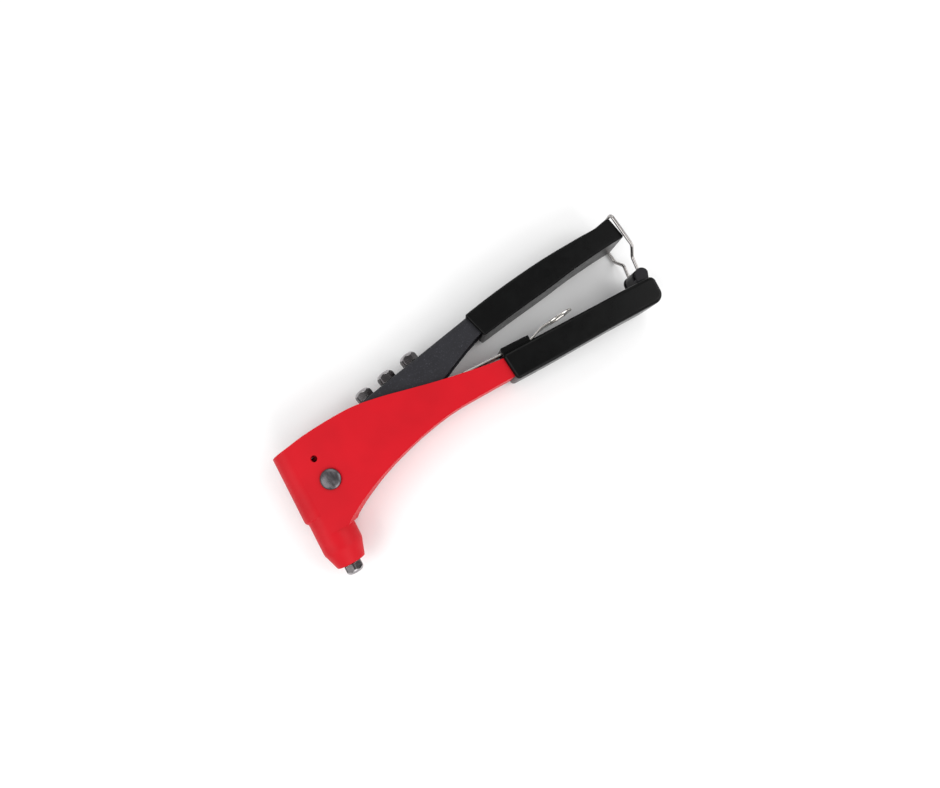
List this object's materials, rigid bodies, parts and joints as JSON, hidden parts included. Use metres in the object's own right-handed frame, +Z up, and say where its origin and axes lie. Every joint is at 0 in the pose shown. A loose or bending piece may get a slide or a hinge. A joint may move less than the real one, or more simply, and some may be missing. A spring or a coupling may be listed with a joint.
{
  "type": "hand riveter",
  "caption": "Hand riveter with folded steel body, round nose, pivoting lever, two grips, wire handle latch, clipped wrench and spare nosepieces.",
  "frame": {"origin": "middle of the footprint, on the surface that the tool lies on", "axes": "+X along the handles towards the latch, +Y from the nosepiece towards the upper handle, +Z up along the pivot pin"},
  "size_m": [0.2622, 0.1272, 0.032],
  "materials": {
    "red_coat": "satin red powder coat",
    "dark_coat": "speckled dark grey powder coat",
    "black_grip": "semi-matte black dip moulding",
    "lug_plastic": "smooth bluish-black plastic",
    "gunmetal": "blackened turned steel",
    "bright_wire": "drawn spring wire",
    "nickel": "nickel-plated pressed strip",
    "inner_steel": "machined steel",
    "spring_steel": "coiled spring wire"
  },
  "bodies": {
    "body": {"body_shell": "red_coat", "nose_bush": "inner_steel", "nosepiece_fitted": "gunmetal", "pivot_pin": "gunmetal", "pivot_bush": "inner_steel", "pin_washer": "inner_steel", "retaining_ring": "inner_steel", "lower_grip": "black_grip", "latch_lug": "lug_plastic", "spring_seat": "inner_steel", "handle_spring": "spring_steel", "return_spring": "spring_steel"},
    "lever": {"lever": "dark_coat", "upper_grip": "black_grip", "nosepiece_spare_1": "gunmetal", "nosepiece_spare_2": "gunmetal", "nosepiece_spare_3": "gunmetal"},
    "latch": {"latch_wire": "bright_wire"},
    "wrench": {"wrench": "nickel"},
    "jaw_case": {"jaw_case": "inner_steel", "case_cap": "inner_steel", "jaw_spring": "spring_steel"},
    "jaw_front": {"jaw_front": "inner_steel"},
    "jaw_rear": {"jaw_rear": "inner_steel"},
    "jaw_pusher": {"jaw_pusher": "inner_steel"}
  },
  "joints": [
    {"name": "lever_pivot", "type": "hinge", "parent": "body", "child": "lever", "pos_m": [-0.1007, -0.00394, 0.016], "axis": [0, 0, 1], "range_deg": [-1.2, 32], "deforming": ["handle_spring"]},
    {"name": "jaw_case_slide", "type": "slide", "parent": "body", "child": "jaw_case", "axis": [0, -1, 0], "range_m": [-0.00034, 0.0089], "deforming": ["return_spring"]},
    {"name": "latch_hinge", "type": "hinge", "parent": "body", "child": "latch", "pos_m": [0.1268, 0.02256, 0.016], "axis": [0, 0, 1], "range_deg": [-85, 3.5]},
    {"name": "wrench_slide", "type": "slide", "parent": "body", "child": "wrench", "axis": [1, 0, 0], "range_m": [0, 0.0395]},
    {"name": "jaw_front_slide", "type": "slide", "parent": "jaw_case", "child": "jaw_front", "axis": [-0.1867, 0.9824, 0], "range_m": [0, 0.0015], "stiffness_N_per_m": 400, "springref_m": -0.002},
    {"name": "jaw_rear_slide", "type": "slide", "parent": "jaw_case", "child": "jaw_rear", "axis": [0.1867, 0.9824, 0], "range_m": [0, 0.0015]},
    {"name": "jaw_pusher_slide", "type": "slide", "parent": "jaw_case", "child": "jaw_pusher", "axis": [0, 1, 0], "range_m": [0, 0.0015], "deforming": ["jaw_spring"]}
  ],
  "couplings": [
    {"joint": "jaw_case_slide", "follows": "lever_pivot", "m_per_rad": 0.0156},
    {"joint": "latch_hinge", "follows": "lever_pivot", "ratio": -2.6},
    {"joint": "jaw_rear_slide", "follows": "jaw_front_slide", "ratio": 1},
    {"joint": "jaw_pusher_slide", "follows": "jaw_front_slide", "ratio": 0.98242}
  ]
}
